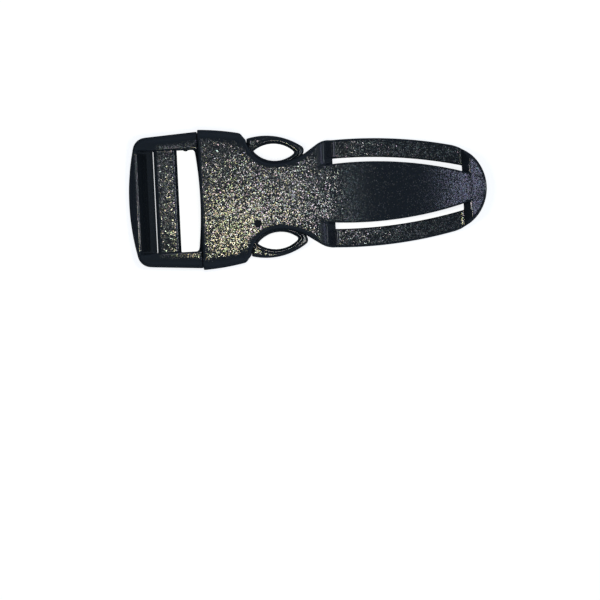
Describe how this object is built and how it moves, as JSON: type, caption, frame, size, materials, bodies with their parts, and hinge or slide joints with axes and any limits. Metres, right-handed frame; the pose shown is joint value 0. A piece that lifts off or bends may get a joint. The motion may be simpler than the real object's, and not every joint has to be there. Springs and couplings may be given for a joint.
{
  "type": "side release buckle",
  "caption": "Fastened side release buckle for narrow webbing: an adjuster plug latched in a socket whose strap head has a tongue between curved bars.",
  "frame": {"origin": "middle of the length and width, on the plane that the back lies on", "axes": "+X along the buckle towards the strap head, +Y across it, +Z out of the front"},
  "size_m": [0.06, 0.0234, 0.008],
  "materials": {
    "plug": "fine spark eroded grain with smooth edges",
    "socket": "fine spark eroded grain with smooth edges"
  },
  "bodies": {
    "root": {"plug": "plug", "socket": "socket"}
  },
  "joints": []
}
